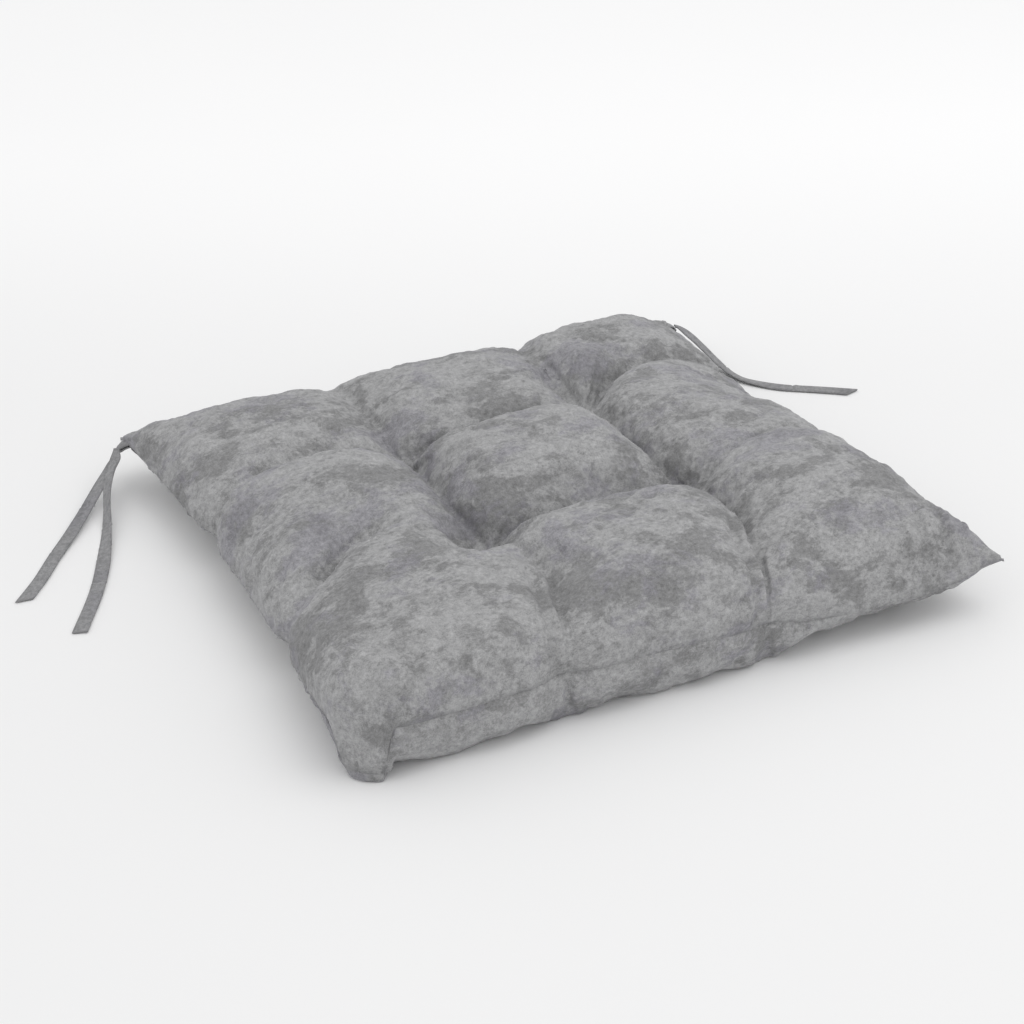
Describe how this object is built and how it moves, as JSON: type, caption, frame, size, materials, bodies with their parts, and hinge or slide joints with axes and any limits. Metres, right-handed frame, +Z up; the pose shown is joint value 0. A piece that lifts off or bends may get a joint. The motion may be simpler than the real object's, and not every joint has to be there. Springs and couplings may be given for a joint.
{
  "type": "chair seat pad",
  "caption": "Square tufted chair pad in grey mottled suede-like cloth, nine puffs round deep tufts, with flat tie tapes at both back corners.",
  "frame": {"origin": "on the floor under the centre of the pad", "axes": "+Z up, +Y towards the back edge whose corners carry the tie tapes, +X to the pad's right seen from the front"},
  "size_m": [0.5923, 0.4251, 0.0718],
  "materials": {
    "cover_cloth": "mottled suede-like nap, soft matte sheen",
    "tie_cloth": "matte folded tape",
    "thread": "matte thread",
    "fibre": "loose white fibre"
  },
  "bodies": {
    "pad": {"top_panel": "cover_cloth", "bottom_panel": "cover_cloth", "fibre_filling": "fibre", "seam_stitching": "thread", "closing_stitches": "thread", "tuft_front_left": "thread", "tuft_front_right": "thread", "tuft_back_left": "thread", "tuft_back_right": "thread", "tie_left_fold": "tie_cloth", "tie_right_fold": "tie_cloth"},
    "left_front_tail": {"tie_left_front": "tie_cloth"},
    "left_rear_tail": {"tie_left_rear": "tie_cloth"},
    "right_front_tail": {"tie_right_front": "tie_cloth"},
    "right_rear_tail": {"tie_right_rear": "tie_cloth"}
  },
  "joints": [
    {"name": "left_front_swing", "type": "hinge", "parent": "pad", "child": "left_front_tail", "pos_m": [-0.2045, 0.191, 0], "axis": [0, 0, 1], "range_deg": [-3, 18]},
    {"name": "left_rear_swing", "type": "hinge", "parent": "pad", "child": "left_rear_tail", "pos_m": [-0.2045, 0.191, 0], "axis": [0, 0, 1], "range_deg": [-110, 3]},
    {"name": "right_front_swing", "type": "hinge", "parent": "pad", "child": "right_front_tail", "pos_m": [0.2045, 0.191, 0], "axis": [0, 0, 1], "range_deg": [-12, 60]},
    {"name": "right_rear_swing", "type": "hinge", "parent": "pad", "child": "right_rear_tail", "pos_m": [0.2045, 0.191, 0], "axis": [0, 0, 1], "range_deg": [-70, 2]}
  ]
}
